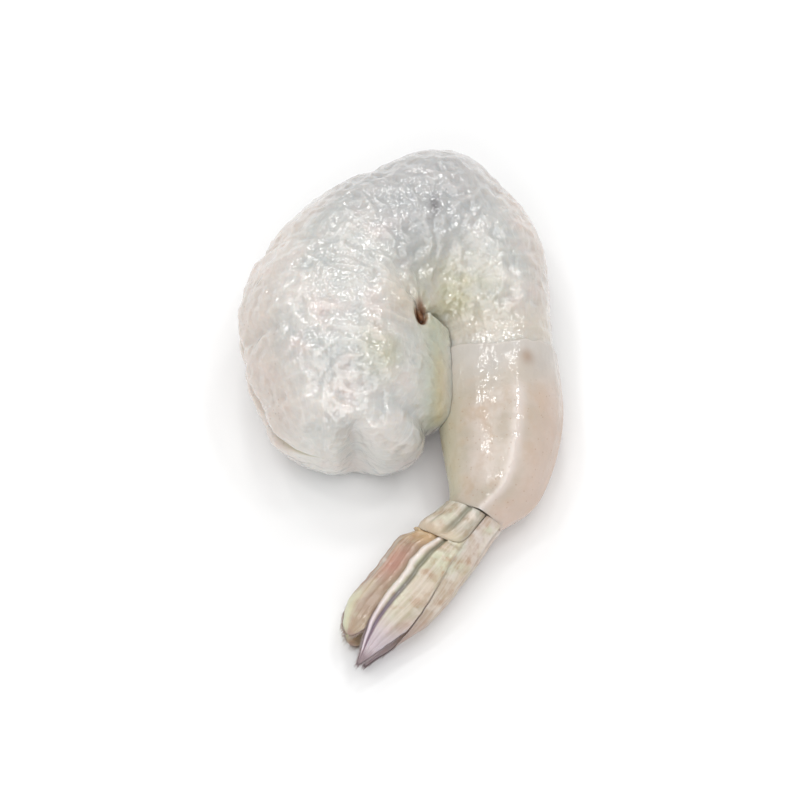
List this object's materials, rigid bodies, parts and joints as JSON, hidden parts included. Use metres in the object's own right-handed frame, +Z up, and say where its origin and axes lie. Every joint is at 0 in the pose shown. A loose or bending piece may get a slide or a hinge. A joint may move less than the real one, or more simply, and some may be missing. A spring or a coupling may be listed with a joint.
{
  "type": "raw peeled whiteleg shrimp",
  "caption": "Raw peeled shrimp with the tail left on, headless and deveined, curled tightly and lying on its side, its tail fan shut.",
  "frame": {"origin": "Middle of the shrimp's outline seen from above, on the surface that it lies on.", "axes": "The shrimp lies on one flank. +Z points up, out of the other flank. +Y points from the tail fan's tip to the top of the curl, along the longest side. +X points from the thick front half to the tail half."},
  "size_m": [0.0348, 0.0608, 0.016],
  "materials": {
    "flesh": "raw translucent flesh, wet and glossy",
    "shell": "thin translucent shell, wet and glossy",
    "fan": "mottled brown-red horny blades, wet, with dark tips"
  },
  "bodies": {
    "root": {"flesh": "flesh", "tail_shell": "shell", "telson": "shell", "fan_root_near": "shell", "fan_root_far": "shell", "inner_blade_near": "fan", "outer_blade_near": "fan", "inner_blade_far": "fan", "outer_blade_far": "fan"}
  },
  "joints": []
}
